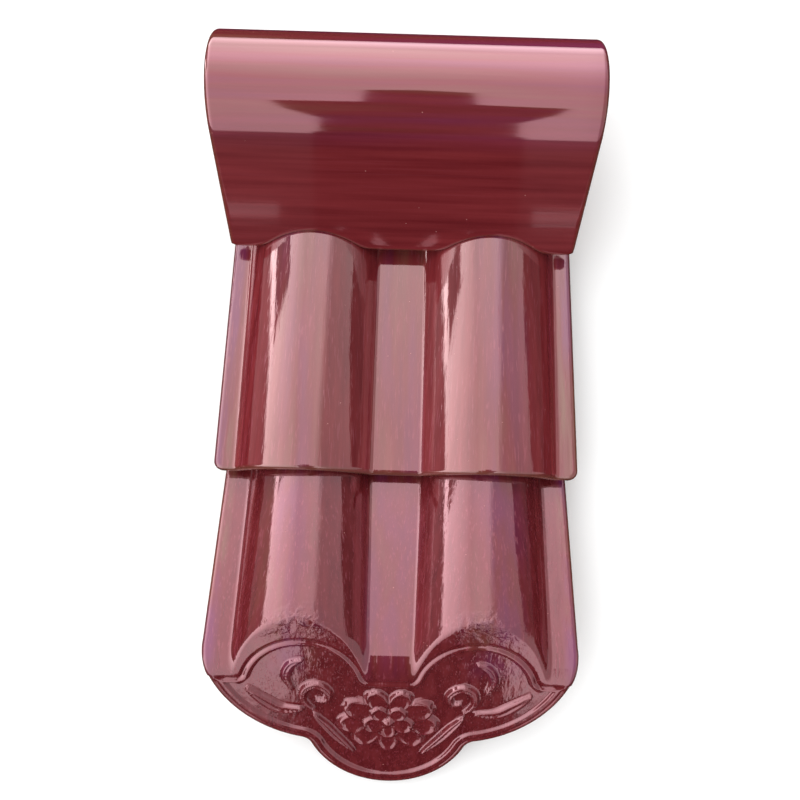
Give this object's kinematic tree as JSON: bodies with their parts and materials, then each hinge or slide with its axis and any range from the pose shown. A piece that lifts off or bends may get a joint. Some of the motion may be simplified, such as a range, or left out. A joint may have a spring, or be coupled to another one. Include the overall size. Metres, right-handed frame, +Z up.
{
  "type": "glazed roof tile run: eave tile, field tile and ridge tile",
  "caption": "Wine-red glazed roof tiles laid in a run: an eave tile with a carved apron, a double-barrel field tile and a ridge tile.",
  "frame": {"origin": "on the ground under the middle of the run of tiles", "axes": "+Y up the slope towards the ridge tile, +X across the run to the right as seen from the eave, +Z up"},
  "size_m": [0.3098, 0.6654, 0.1487],
  "materials": {
    "ridge_glaze": "gloss",
    "field_glaze": "gloss",
    "eave_glaze": "gloss"
  },
  "bodies": {
    "root": {"ridge_tile": "ridge_glaze", "field_tile": "field_glaze", "eave_tile": "eave_glaze"}
  },
  "joints": []
}
